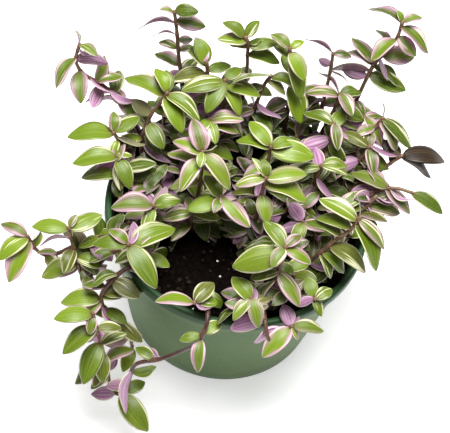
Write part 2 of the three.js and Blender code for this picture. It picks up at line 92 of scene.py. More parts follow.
# Every crown is a rooted cutting: its shoots all start at one point under the soil.
# route: where the stem runs, in millimetres, from just above the soil to its tip.
# leaves: [distance down from the tip, heading, lift, length, roll], in millimetres and degrees.
# A heading of 0 points along +X and 90 along +Y. A roll of 0 turns the blade's face up.
CROWNS = {
  "left_back": {
    "root": [-48, 32],
    "sprig": {
      "route": [[-54, 44, 106], [-66, 55, 126], [-75, 57, 136], [-87, 58, 146], [-91, 60, 151],
        [-92, 61, 157], [-90, 64, 165]],
      "leaves": [[0, 118, 50, 10, 60], [1, 100, 40, 9, 60], [0, 322, 10, 12], [3, 330, 0, 9, 150],
        [9, 235, -10, 19, 20], [10, 358, 5, 17, -105], [18, 272, -15, 18], [26, 330, 0, 16, 120],
        [30, 70, 30, 15, 60],
        [31, 10, 10, 14], [34, 250, -10, 14, 150], [40, 340, -5, 18, 150], [42, 198, -10, 15, 70],
        [54, 120, 10, 14], [62, 330, 0, 15]],
    },
    "left_high": {
      "route": [[-54, 34, 110], [-51, 38, 134], [-45, 42, 144], [-42, 43, 151]],
      "leaves": [[0, 118, 25, 16], [1, 88, 30, 14], [4, 150, 5, 25], [2, 328, -10, 22], [4, 298, -20, 21],
        [8, 10, -5, 18], [18, 130, 0, 15, 150], [24, 300, -10, 16, 20], [36, 190, 0, 16], [48, 330, 0, 15]],
    },
    "left_low": {
      "route": [[-60, 27, 110], [-66, 28, 122], [-71, 30, 131]],
      "leaves": [[1, 182, 0, 25], [0, 28, 10, 17], [0, 92, 30, 12, 20], [2, 155, 10, 8],
        [4, 355, -5, 16, 150],
        [6, 250, -20, 10], [16, 200, -5, 16], [26, 340, -5, 15], [36, 190, 0, 14]],
    },
  },
  "left_wall": {
    "root": [-49, 2],
    "left_middle": {
      "route": [[-60, 11, 110], [-66, 15, 119], [-69, 18, 126]],
      "leaves": [[1, 190, 0, 24], [0, 0, 0, 8], [4, 275, -20, 15], [2, 292, -15, 17], [12, 180, -10, 24],
        [8, 300, -10, 14, 150], [22, 330, -5, 15], [32, 200, 0, 14]],
    },
    "left_inner": {
      "route": [[-48, -10, 110], [-50, -15, 122], [-50, -18, 131]],
      "leaves": [[0, 180, 0, 22], [1, 15, 10, 15], [3, 250, -15, 14], [2, 60, 10, 14, 160], [14, 190, 0, 15],
        [26, 340, 0, 14], [36, 200, 0, 13]],
    },
  },
  "left_edge": {
    "root": [-49, -28],
    "left_front": {
      "route": [[-55, -35, 110], [-60, -39, 120], [-64, -41, 129]],
      "leaves": [[1, 178, 0, 18], [2, 305, -15, 25], [4, 27, 8, 27], [0, 140, 20, 13], [3, 80, 20, 14, 150],
        [5, 40, 10, 17], [18, 200, -5, 14], [28, 340, -5, 14]],
    },
    "trailer_upper": {
      "route": [[-64, -25, 109], [-77, -26, 111], [-91, -27, 104], [-105, -28, 95], [-113, -26, 99],
        [-117, -24, 109]],
      "leaves": [[0, 150, 5, 16], [1, 215, -5, 19], [4, 242, -15, 24], [6, 60, 10, 10, 90], [10, 60, 20, 9],
        [24, 290, -10, 8, 150], [36, 320, -10, 11, 150], [38, 295, -20, 9, 160], [34, 12, 5, 16],
        [54, 200, -5, 14],
        [62, 340, -5, 14]],
    },
    "trailer_middle": {
      "route": [[-63, -32, 109], [-73, -35, 108], [-80, -38, 98], [-84, -37, 87], [-88, -35, 89],
        [-91, -34, 106],
        [-94, -31, 120], [-95, -30, 127]],
      "leaves": [[1, 175, 0, 19], [0, 55, 30, 8], [1, 22, 5, 19], [8, 190, -5, 16, 70], [30, 200, -10, 20],
        [34, 190, -20, 12], [40, 25, 5, 15, 160], [52, 85, 30, 13, 60], [72, 200, -5, 13]],
    },
    "trailer_rim": {
      "route": [[-59, -42, 107], [-67, -46, 108], [-76, -52, 98], [-76, -53, 84], [-69, -55, 74],
        [-62, -55, 66],
        [-60, -57, 56], [-58, -59, 47]],
      "leaves": [[0, 250, -20, 14], [10, 200, 0, 14, 160], [43, 310, -15, 12, 150], [50, 178, 0, 21],
        [48, 225, -10, 12], [56, 8, 5, 24], [64, 120, 10, 10, 150],
        [80, 20, 0, 13]],
    },
  },
  "front_edge": {
    "root": [-20, -48],
    "trailer_long": {
      "route": [[-21, -66, 107], [-22, -77, 108], [-26, -82, 97], [-32, -79, 82], [-44, -79, 71],
        [-57, -79, 65],
        [-60, -80, 50], [-61, -82, 39], [-67, -83, 36], [-71, -79, 42], [-73, -75, 56], [-76, -73, 72],
        [-79, -71, 88], [-82, -68, 103]],
      "leaves": [[1, 185, 0, 20], [3, 262, -30, 9], [12, 218, -10, 21], [13, 5, 0, 13], [26, 242, -15, 22],
        [28, 25, 5, 15], [36, 268, -25, 15], [44, 28, 5, 17], [46, 208, -10, 19], [52, 230, -10, 12],
        [54, 60, 10, 10, 150], [74, 310, -15, 25], [98, 262, -25, 22, 110], [118, 130, 10, 9, 160],
        [116, 140, 0, 12],
        [96, 15, 0, 14, 60], [156, 262, -25, 16], [154, 285, -30, 12, 110], [160, 35, 5, 12],
        [158, 185, -5, 11]],
    },
    "front_left": {
      "route": [[-26, -58, 106], [-28, -64, 112], [-29, -69, 116]],
      "leaves": [[0, 178, 0, 20, 35], [1, 48, 10, 15], [2, 345, -10, 9, 150], [4, 0, -5, 12],
        [20, 200, 0, 13],
        [32, 340, 0, 13]],
    },
  },
  "front": {
    "root": [8, -50],
    "front_centre": {
      "route": [[4, -60, 106], [2, -70, 111], [1, -68, 120]],
      "leaves": [[2, 130, 10, 16], [1, 222, -15, 14], [0, 285, -30, 15], [4, 80, 10, 10, 160], [6, 30, 0, 12],
        [24, 190, 0, 13], [36, 340, 0, 13]],
    },
    "front_right": {
      "route": [[9, -64, 106], [9, -77, 109], [11, -83, 103], [15, -82, 97], [20, -79, 98], [24, -77, 106]],
      "leaves": [[0, 355, 0, 17], [1, 300, -25, 7], [2, 225, -15, 20], [5, 200, -5, 19, 100],
        [1, 105, 20, 13, 150],
        [6, 60, 10, 14, 150], [34, 192, -10, 18, 160], [50, 20, 0, 13]],
    },
    "front_middle": {
      "route": [[14, -55, 108], [16, -55, 128], [17, -51, 144]],
      "leaves": [[1, 124, 10, 18], [1, 232, -10, 12], [6, 185, -5, 26, -35], [0, 35, 10, 11],
        [2, 335, -10, 15],
        [18, 195, -10, 15], [20, 305, -20, 20], [26, 230, -10, 12, 60], [28, 350, -5, 12],
        [40, 180, 0, 13]],
    },
  },
  "right_front": {
    "root": [32, -34],
    "right_front": {
      "route": [[35, -40, 108], [39, -42, 122], [46, -40, 132], [54, -37, 139], [58, -34, 147]],
      "leaves": [[3, 150, 5, 23], [9, 153, 0, 19], [16, 145, 0, 20], [2, 322, -15, 19], [5, 303, -25, 25],
        [24, 328, -10, 23], [30, 322, -25, 16], [32, 300, -20, 13], [0, 105, 30, 15, 60], [44, 200, -5, 14],
        [54, 330, -5, 14]],
    },
    "front_right_inner": {
      "route": [[34, -50, 104], [35, -60, 110], [36, -66, 115]],
      "leaves": [[0, 35, 5, 11], [1, 200, 0, 10, 150], [3, 300, -20, 10], [2, 110, 20, 12], [12, 190, 0, 13],
        [22, 350, 0, 13]],
    },
    "centre_right": {
      "route": [[31, -25, 106], [32, -21, 122]],
      "leaves": [[0, 120, 10, 13, 150], [1, 250, -15, 13], [2, 350, -5, 14], [3, 190, 0, 12, 150],
        [12, 30, 0, 13],
        [24, 200, 0, 13]],
    },
  },
  "right_wall": {
    "root": [52, -2],
    "right_dark": {
      "route": [[66, 9, 111], [77, 13, 119], [85, 17, 124], [91, 19, 129]],
      "leaves": [[0, 2, -5, 26, 0], [1, 335, -15, 20, -10], [2, 125, 10, 14, 150], [8, 80, 10, 14, 20],
        [18, 200, 0, 14], [28, 330, -10, 14]],
    },
    "right_reach": {
      "route": [[62, -1, 112], [76, 1, 120], [86, 0, 124], [95, -3, 124]],
      "leaves": [[0, 328, -10, 20], [14, 155, 5, 22], [15, 322, -15, 18], [13, 335, 5, 15, 140],
        [18, 115, 20, 15],
        [24, 215, -5, 14, 140], [34, 330, -5, 14], [44, 180, 0, 14]],
    },
    "right_low": {
      "route": [[60, -11, 105], [68, -8, 114], [75, -4, 122]],
      "leaves": [[2, 355, -10, 12, 150], [0, 345, 0, 10, 140], [8, 355, -20, 13, 160], [5, 170, 0, 16, 140],
        [16, 200, -5, 14], [26, 330, -10, 13]],
    },
  },
  "right_back": {
    "root": [55, 19],
    "right_back": {
      "route": [[66, 29, 112], [73, 33, 128], [80, 37, 140]],
      "leaves": [[0, 95, 40, 9, 50], [1, 320, -20, 22], [3, 303, -25, 18], [8, 200, 0, 12],
        [16, 340, -10, 14],
        [26, 190, 0, 15], [36, 330, 0, 14]],
    },
    "right_thicket": {
      "route": [[62, 20, 112], [69, 21, 123], [72, 23, 132]],
      "leaves": [[0, 345, -5, 16, 150], [1, 150, 10, 18], [2, 280, -15, 14], [3, 80, 20, 13],
        [12, 200, 0, 15, 150],
        [24, 330, -5, 13]],
    },
  },
  "back_right": {
    "root": [52, 34],
    "tall_right": {
      "route": [[57, 40, 110], [65, 50, 128], [70, 56, 148], [74, 60, 160], [80, 62, 169],
        [83, 63, 178], [84, 65, 189]],
      "leaves": [[1, 148, 10, 20, 20], [0, 10, 15, 11], [0, 120, 40, 7], [3, 322, -15, 19],
        [10, 315, -15, 14, 40],
        [12, 222, -10, 18, 20], [18, 110, 30, 9, 60], [20, 122, 20, 14, 20], [32, 132, 15, 19],
        [34, 140, 0, 17],
        [26, 5, 0, 18, 30], [34, 330, -15, 17], [28, 290, -15, 12, 150], [40, 338, -10, 22, 40],
        [38, 178, 0, 22, 70],
        [42, 155, 10, 16, 150], [54, 200, 0, 15], [64, 330, 0, 15]],
    },
    "back_thicket": {
      "route": [[60, 36, 112], [67, 39, 124], [71, 42, 134]],
      "leaves": [[0, 300, -20, 18], [1, 120, 20, 14], [2, 200, 0, 14, 150], [3, 20, 0, 13],
        [12, 320, -10, 15],
        [24, 190, 0, 14, 150], [34, 340, 0, 13]],
    },
  },
  "slim": {
    "root": [44, 44],
    "slim_sprig": {
      "route": [[48, 52, 122], [49, 56, 148], [49, 58, 160], [48, 57, 171]],
      "leaves": [[0, 150, 10, 17, 60], [1, 0, 0, 10], [12, 140, 0, 8, 150], [16, 320, 0, 12, -60],
        [30, 190, 0, 15],
        [42, 20, 0, 15], [54, 200, 0, 14]],
    },
    "thicket_high": {
      "route": [[50, 44, 118], [54, 47, 134], [55, 48, 147]],
      "leaves": [[0, 300, -10, 14], [1, 130, 10, 18, 60], [2, 175, 0, 18], [3, 20, 0, 14],
        [10, 330, -10, 17, 30],
        [20, 190, 0, 15], [32, 340, 0, 14]],
    },
  },
  "right_middle": {
    "root": [44, 15],
    "thicket_middle": {
      "route": [[48, 26, 112], [51, 31, 126], [52, 34, 138]],
      "leaves": [[0, 275, -20, 14], [1, 150, 0, 18], [2, 340, -5, 15, 150], [4, 60, 10, 14],
        [12, 200, 0, 16, 150],
        [24, 330, 0, 14], [36, 180, 0, 13]],
    },
    "thicket_low": {
      "route": [[42, 9, 112], [43, 8, 134]],
      "leaves": [[0, 345, -5, 15], [1, 10, 0, 15], [2, 190, 0, 14], [3, 100, 10, 13, 150],
        [12, 310, -10, 15, 150],
        [24, 200, 0, 14], [34, 340, 0, 13, 150]],
    },
  },
  "back_bright": {
    "root": [29, 48],
    "back_bright": {
      "route": [[29, 52, 122], [28, 58, 147], [24, 59, 172]],
      "leaves": [[0, 138, 15, 13], [1, 35, 15, 9], [3, 300, -20, 16], [8, 130, 0, 13], [14, 298, -30, 18],
        [30, 288, -35, 22], [22, 100, 20, 14], [38, 20, 0, 15], [48, 190, 0, 15], [58, 330, 0, 15]],
    },
  },
  "back_centre": {
    "root": [7, 50],
    "back_centre": {
      "route": [[4, 62, 118], [4, 66, 145], [3, 67, 156], [2, 66, 167], [0, 67, 171]],
      "leaves": [[0, 150, 25, 15], [1, 50, 30, 12], [3, 178, 5, 16], [5, 15, 20, 8, 70], [9, 165, -5, 10],
        [8, 2, 10, 16], [16, 345, 0, 18], [30, 200, 0, 16], [42, 340, 0, 16], [54, 180, 0, 15]],
    },
    "back_inner": {
      "route": [[9, 52, 116], [11, 53, 135], [13, 53, 148], [16, 54, 154]],
      "leaves": [[0, 193, 0, 23, 40], [1, 345, 0, 16], [4, 325, -10, 12], [10, 200, 0, 10],
        [34, 12, 10, 15, 170],
        [30, 205, 0, 14], [48, 330, 0, 14]],
    },
  },
  "back_left": {
    "root": [-20, 55],
    "tall_left": {
      "route": [[-29, 62, 118], [-34, 68, 145], [-36, 69, 160], [-38, 70, 175], [-40, 70, 187]],
      "leaves": [[0, 355, 20, 13, 40], [1, 175, 20, 8], [8, 350, 5, 16, 40], [10, 184, 0, 20, 55],
        [19, 178, 0, 13, 55],
        [24, 10, 10, 8, 30], [30, 160, 10, 11], [32, 15, 10, 9], [44, 148, 5, 16], [48, 215, 0, 10, 100],
        [58, 350, 0, 15], [66, 190, 0, 16]],
    },
    "tall_inner": {
      "route": [[-16, 58, 122], [-18, 60, 140], [-20, 61, 156]],
      "leaves": [[0, 122, 30, 15, 150], [2, 115, 35, 16], [4, 135, 30, 17], [8, 20, 10, 14], [10, 195, 0, 20],
        [16, 213, 0, 18, 160], [28, 330, 0, 16], [40, 160, 0, 16]],
    },
  },
  "back_middle": {
    "root": [-13, 38],
    "back_middle": {
      "route": [[-10, 47, 118], [-9, 50, 136], [-10, 52, 152]],
      "leaves": [[1, 237, -15, 20], [2, 190, 0, 24], [0, 40, 10, 12], [6, 305, -20, 16], [4, 345, 0, 20],
        [18, 170, 0, 16], [30, 320, 0, 16], [42, 200, 0, 14]],
    },
    "middle": {
      "route": [[-17, 34, 112], [-18, 35, 124], [-18, 36, 137]],
      "leaves": [[0, 235, 0, 12], [2, 5, 5, 19], [4, 345, -5, 17], [1, 280, -10, 14], [14, 170, 0, 16],
        [26, 340, 0, 15], [38, 200, 0, 14]],
    },
  },
  "left_centre": {
    "root": [-24, -6],
    "left_tall": {
      "route": [[-24, -1, 120], [-24, 0, 138], [-25, 1, 155]],
      "leaves": [[0, 110, 30, 19], [1, 100, 25, 17], [2, 152, 5, 17], [2, 315, -15, 22], [0, 260, -10, 9],
        [6, 230, -15, 20], [1, 30, 10, 9, 100], [12, 148, 0, 20], [14, 350, -5, 16], [26, 190, 0, 16],
        [38, 340, 0, 16], [50, 180, 0, 15]],
    },
    "low_inner": {
      "route": [[-28, -13, 106], [-28, -15, 121]],
      "leaves": [[0, 195, 0, 16], [2, 350, 0, 15], [4, 100, 10, 12], [14, 220, 0, 14], [24, 30, 0, 14]],
    },
  },
  "centre": {
    "root": [3, -4],
    "centre_front": {
      "route": [[7, -15, 110], [8, -13, 130], [9, -11, 149]],
      "leaves": [[1, 190, 0, 16], [0, 125, 20, 13, 30], [0, 95, 35, 10], [1, 5, 5, 22], [6, 342, -5, 24],
        [16, 192, -5, 21, 60], [14, 278, -25, 15], [36, 160, 10, 10, 70], [34, 335, -10, 14],
        [46, 200, -5, 14]],
    },
    "centre_left": {
      "route": [[-12, -11, 110], [-14, -13, 123], [-14, -14, 135]],
      "leaves": [[0, 312, -15, 22], [2, 118, 10, 16], [1, 250, 0, 10], [4, 200, 0, 18], [14, 20, 0, 15],
        [24, 190, 0, 16], [34, 320, 0, 14]],
    },
    "centre_back": {
      "route": [[13, 9, 114], [14, 12, 130], [14, 13, 144]],
      "leaves": [[0, 128, 15, 19], [2, 157, 0, 19], [1, 15, 10, 15], [3, 350, 0, 24, 20], [16, 210, 0, 15],
        [26, 340, 0, 16], [38, 170, 0, 14]],
    },
  },
}


# ---------------------------------------------------------------- shapes

def add_piece(name, vertices, faces, material, nodes=(), points=None):
    """A smooth mesh that rides on the root body, with its point attributes."""
    mesh = bpy.data.meshes.new(name)
    mesh.from_pydata([Vector(v) * MM for v in vertices], [], faces)
    for title, values in (points or {}).items():
        attribute = mesh.attributes.new(title, "FLOAT_VECTOR", "POINT")
        attribute.data.foreach_set("vector", [number for value in values for number in value])
    mesh.polygons.foreach_set("use_smooth", [True] * len(mesh.polygons))
    mesh.materials.append(material)
    piece = bpy.data.objects.new(name, mesh)
    bpy.context.scene.collection.objects.link(piece)
    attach(piece, "root")
    if nodes:
        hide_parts(*nodes)
    return piece


def lathe(profile, sides):
    """Turns a list of (radius, height) round the Z axis; a radius of 0 is one point."""
    vertices, rings, faces = [], [], []
    for radius, height in profile:
        if radius == 0:
            vertices.append((0, 0, height))
            rings.append([len(vertices) - 1] * sides)
            continue
        first = len(vertices)
        for k in range(sides):
            angle = math.tau * k / sides
            vertices.append((radius * math.cos(angle), radius * math.sin(angle), height))
        rings.append(list(range(first, first + sides)))
    for low, high in zip(rings, rings[1:]):
        for k in range(sides):
            n = (k + 1) % sides
            corners = [low[k], low[n], high[n], high[k]]
            face = [c for i, c in enumerate(corners) if c not in corners[:i]]
            if len(face) > 2:
                faces.append(face)
    return vertices, faces


def smooth_curve(points, per_span=10):
    """A Catmull-Rom curve through the points, as closely spaced points."""
    ends = [points[0] * 2 - points[1], *points, points[-1] * 2 - points[-2]]
    out = []
    for p0, p1, p2, p3 in zip(ends, ends[1:], ends[2:], ends[3:]):
        for k in range(per_span):
            t = k / per_span
            out.append(0.5 * (2 * p1 + (p2 - p0) * t + (2 * p0 - 5 * p1 + 4 * p2 - p3) * t * t
                              + (3 * p1 - p0 - 3 * p2 + p3) * t ** 3))
    out.append(points[-1])
    return out


class Stem:
    """A shoot's centre line, measured in millimetres down from its tip."""

    def __init__(self, root, route):
        start = (root[0], root[1], SOIL_TOP - 6)
        self.points = smooth_curve([Vector(p) for p in [start, *route]])
        self.reach = [0.0]
        for a, b in zip(self.points, self.points[1:]):
            self.reach.append(self.reach[-1] + (b - a).length)
        self.length = self.reach[-1]

    def at(self, from_tip):
        """(point, direction) at a distance down from the tip."""
        along = min(max(self.length - from_tip, 0), self.length)
        i = 0
        while i < len(self.reach) - 2 and self.reach[i + 1] < along:
            i += 1
        span = self.points[i + 1] - self.points[i]
        return self.points[i] + span * ((along - self.reach[i]) / span.length), span.normalized()

    def radius(self, from_tip):
        share = 1 - from_tip / self.length
        return STEM_RADIUS + (STEM_TIP_RADIUS - STEM_RADIUS) * share


class Build:
    """Vertices, faces and point attributes collected for one piece."""

    def __init__(self):
        self.vertices, self.faces = [], []
        self.points = {"blade": [], "look": []}

    def loops(self, rows, looks):
        """Joins closed rows of points, each with its blade values, into a capped skin."""
        first = len(self.vertices)
        width = len(rows[0])
        for row in rows:
            for point, blade in row:
                self.vertices.append(point)
                self.points["blade"].append(blade)
                self.points["look"].append(looks)
        for r in range(len(rows) - 1):
            for k in range(width):
                n = (k + 1) % width
                a = first + r * width
                self.faces.append((a + k, a + n, a + width + n, a + width + k))
        self.faces.append([first + k for k in reversed(range(width))])
        self.faces.append([first + (len(rows) - 1) * width + k for k in range(width)])


def ring(centre, direction, radius, sides, blade):
    """A closed row of points round a stem."""
    side = direction.orthogonal().normalized()
    if abs(direction.z) < 0.95:
        side = direction.cross(Vector((0, 0, 1))).normalized()
    other = direction.cross(side)
    return [(centre + (side * math.cos(math.tau * k / sides) + other * math.sin(math.tau * k / sides)) * radius,
             blade) for k in range(sides)]


def add_tube(build, centres, radii, sides, blades, looks):
    """A tube along the centres, with frames that are carried from ring to ring without twisting."""
    rows = []
    side = None
    for i, (centre, radius) in enumerate(zip(centres, radii)):
        ahead = centres[min(i + 1, len(centres) - 1)] - centres[max(i - 1, 0)]
        ahead.normalize()
        side = ahead.orthogonal() if side is None else side - ahead * side.dot(ahead)
        side.normalize()
        other = ahead.cross(side)
        rows.append([(centre + (side * math.cos(math.tau * k / sides) + other * math.sin(math.tau * k / sides))
                      * radius, blades[i]) for k in range(sides)])
    build.loops(rows, looks)


def leaf_outline(t):
    """Half width at t along the blade, 1 at its widest: round at the base, pointed at the tip."""
    t = min(max(t, 0.0), 1.0)
    return 2.3 * t ** 0.57 * (1 - t) ** 0.68 * (1 - 0.25 * t ** 8)


def add_leaf(build, stem, leaf, rng, painted_light=0.8, rosy=0.0):
    """One blade and its sheath. Its brightness is painted light and shade, varied a little at random, and under
    0 paints the blade near-black as painted shade; rosy leans it towards pink.
    """
    from_tip, heading, lift, length, *rest = leaf
    roll = math.radians(rest[0] if rest else 0)
    node, direction = stem.at(from_tip)
    heading, lift = math.radians(heading), math.radians(lift)
    along = Vector((math.cos(lift) * math.cos(heading), math.cos(lift) * math.sin(heading), math.sin(lift)))
    face = Vector((0, 0, 0.7)) + direction * 0.3
    face -= along * face.dot(along)
    face.normalize()
    face.rotate(Matrix.Rotation(roll, 3, along))
    across = along.cross(face)
    out = (along - direction * along.dot(direction)).normalized()
    base = node + out * (stem.radius(from_tip) * 0.6)
    half = LEAF_WIDTH * length / 2 * (1.18 - 0.012 * length) * rng.uniform(0.88, 1.1)
    arch = LEAF_ARCH * rng.uniform(0.6, 1.5)
    cup = LEAF_CUP * rng.uniform(-0.8, 2.6)
    bend = rng.uniform(-0.07, 0.07)
    droop = LEAF_DROOP * rng.uniform(0.4, 2.4)
    ripple = rng.uniform(0, math.tau)
    steps, columns = 14, 8
    rows = []
    for i in range(steps + 1):
        t = i / steps
        wide = max(half * leaf_outline(0.015 + 0.975 * t), 0.25)
        row = []
        for level in (1, -1):
            for k in range(columns + 1):
                s = (-1 + 2 * k / columns) * level
                if level < 0 and abs(s) == 1:
                    continue
                thick = LEAF_THICKNESS * (1 - 0.75 * s * s) * 0.5 * level
                rise = arch * length * math.sin(math.pi * t)
                rise += cup * length * abs(s) ** 1.4 * math.sin(math.pi * min(t * 1.2, 1))
                rise += 0.012 * length * math.sin(ripple + 7 * t) * s * s
                point = (base + along * (length * t) + across * (s * wide + bend * length * t * t)
                         + face * (rise + thick) + Vector((0, 0, -droop * length * t * t)))
                row.append((point, (t, s, 1.0 if level > 0 else 0.0)))
        rows.append(row)
    # painted light and shade: the leaf's brightness, varied a little at random, or -1 for a leaf painted
    # near-black
    painted_light_and_tone = min(max(painted_light + rng.uniform(-0.35, 0.25), 0.0), 1.0) if painted_light >= 0 else -1.0
    looks = (painted_light_and_tone, rng.random() + rosy, rng.random())
    build.loops(rows, looks)
    sheath = min(3.2, 0.16 * length + 1)
    centres = [stem.at(from_tip + sheath * share)[0] for share in (1, 0.55, 0.1, -0.25)]
    radius = stem.radius(from_tip)
    if from_tip > 0.5:
        add_tube(build, centres, [radius + 0.04, radius + 0.12, radius + 0.22, radius + 0.12], 8,
                 [(-1.0, 0.0, 0.0)] * 4, looks)


def add_stem(build, stem, nodes):
    """A stem with a slight swelling at every leaf and a rounded tip."""
    count = max(8, round(stem.length / 2.2))
    centres, radii, blades = [], [], []
    for i in range(count + 1):
        from_tip = stem.length * (1 - i / count)
        centres.append(stem.at(from_tip)[0])
        swell = sum(math.exp(-((from_tip - n) / 1.3) ** 2) for n in nodes)
        radii.append(stem.radius(from_tip) * (1 + 0.16 * min(swell, 1)))
        blades.append((i / count, min(swell, 1), 0))
    centres.append(stem.points[-1] + stem.at(0)[1] * 0.7)
    radii.append(0.35)
    blades.append((1, 0, 0))
    add_tube(build, centres, radii, 10, blades, (stem.length / 200, 0, 0))


def hangs(point):
    """Whether a point is outside the pot and lower than the leaves that crowd over it."""
    return math.hypot(point.x, point.y) > 72 and point.z < 104


def clears_wall(stem, leaf):
    """Whether a blade stays on its own side of the pot's wall, or passes over the lip."""
    from_tip, heading, lift, length = leaf[:4]
    node = stem.at(from_tip)[0]
    heading, lift = math.radians(heading), math.radians(lift)
    inside = math.hypot(node.x, node.y) < RIM_RADIUS - 2
    for share in (0.4, 0.6, 0.8, 1.0):
        reach = length * share
        x = node.x + reach * math.cos(lift) * math.cos(heading)
        y = node.y + reach * math.cos(lift) * math.sin(heading)
        z = node.z + reach * math.sin(lift) - 2 * LEAF_DROOP * length * share * share
        wall = wall_radius(min(max(z, 0), POT_HEIGHT))
        crosses = math.hypot(x, y) > wall - 7 if inside else math.hypot(x, y) < wall + 3
        if z < POT_HEIGHT + 3 and crosses:
            return False
    return True


def filler_leaves(stem, leaves, rng):
    """Smaller leaves between the listed ones and the soil, more of them in the crowded back."""
    out = []
    taken = [leaf[0] for leaf in leaves]
    from_tip = 6.0
    turn = rng.uniform(0, 360)
    while from_tip < stem.length - 8:
        point = stem.at(from_tip)[0]
        crowded = point.y > -20 or point.x > 25 or point.x < -50
        reach = math.hypot(point.x, point.y)
        outside = hangs(point)
        exposed = point.z > 120 + 0.25 * point.y or (reach > 76 and point.x > -60)
        if not exposed and all(abs(from_tip - other) > 1.5 for other in taken):
            length = rng.uniform(11, 16) if outside else rng.uniform(13, 19) if crowded else rng.uniform(10, 14)
            out.append([from_tip, turn % 360, rng.uniform(-20, 20), length, rng.choice((0, 0, 20, 150, 60))])
        from_tip += rng.uniform(5, 8) if outside else rng.uniform(3.0, 4.5) if crowded else rng.uniform(6, 8)
        turn += 180 + rng.uniform(-60, 60)
    return [leaf for leaf in out if clears_wall(stem, leaf)]


def undergrowth_spots(rng):
    """Where short young shoots stand: all over the pot but its bare patches."""
    spots = []
    while len(spots) < UNDERGROWTH:
        r, angle = 62 * math.sqrt(rng.random()), rng.uniform(0, math.tau)
        x, y = r * math.cos(angle), r * math.sin(angle)
        bare = any(math.hypot((x - a) / wide, (y - b) / deep) < 1 for a, b, wide, deep in BARE)
        if not bare and all(math.hypot(x - a, y - b) > 8 for a, b in spots):
            spots.append((x, y))
    return spots


# ---------------------------------------------------------------- materials

class Nodes:
    """Short names for the shader nodes of one material."""

    def __init__(self, name):
        self.material = bpy.data.materials.new(name)
        self.material.use_nodes = True
        self.tree = self.material.node_tree
        self.shader = self.tree.nodes["Principled BSDF"]

    def put(self, socket, value):
        if isinstance(value, bpy.types.NodeSocket):
            self.tree.links.new(value, socket)
        else:
            socket.default_value = value

    def math(self, operation, a, b=0.0, c=0.0, clamp=False):
        node = self.tree.nodes.new("ShaderNodeMath")
        node.operation = operation
        node.use_clamp = clamp
        for socket, value in zip(node.inputs, (a, b, c)):
            self.put(socket, value)
        return node.outputs[0]

    def step(self, value, low, high):
        node = self.tree.nodes.new("ShaderNodeMapRange")
        node.interpolation_type = "SMOOTHSTEP"
        self.put(node.inputs["Value"], value)
        self.put(node.inputs["From Min"], low)
        self.put(node.inputs["From Max"], high)
        return node.outputs["Result"]

    def mix(self, factor, a, b, blend="MIX"):
        node = self.tree.nodes.new("ShaderNodeMix")
        node.data_type = "RGBA"
        node.blend_type = blend
        self.put(node.inputs["Factor"], factor)
        self.put(node.inputs["A"], colour(a))
        self.put(node.inputs["B"], colour(b))
        return node.outputs["Result"]

    def attribute(self, name):
        node = self.tree.nodes.new("ShaderNodeAttribute")
        node.attribute_name = name
        split = self.tree.nodes.new("ShaderNodeSeparateXYZ")
        self.tree.links.new(node.outputs["Vector"], split.inputs[0])
        return split.outputs[0], split.outputs[1], split.outputs[2]

    def vector(self, x, y, z):
        node = self.tree.nodes.new("ShaderNodeCombineXYZ")
        for socket, value in zip(node.inputs, (x, y, z)):
            self.put(socket, value)
        return node.outputs[0]

    def noise(self, scale, detail=3.0, vector=None, roughness=0.5):
        node = self.tree.nodes.new("ShaderNodeTexNoise")
        node.inputs["Scale"].default_value = scale
        node.inputs["Detail"].default_value = detail
        node.inputs["Roughness"].default_value = roughness
        if vector is None:
            vector = self.tree.nodes.new("ShaderNodeTexCoord").outputs["Object"]
        self.tree.links.new(vector, node.inputs["Vector"])
        return node.outputs["Fac"]

    def bump(self, height, strength, distance):
        node = self.tree.nodes.new("ShaderNodeBump")
        node.inputs["Strength"].default_value = strength
        node.inputs["Distance"].default_value = distance
        self.tree.links.new(height, node.inputs["Height"])
        self.tree.links.new(node.outputs[0], self.shader.inputs["Normal"])

    def set(self, **values):
        for title, value in values.items():
            socket = self.shader.inputs[title.replace("_", " ")]
            self.put(socket, colour(value) if title == "Base_Color" else value)
        return self.material


def colour(value):
    return (*value, 1.0) if isinstance(value, tuple) and len(value) == 3 else value


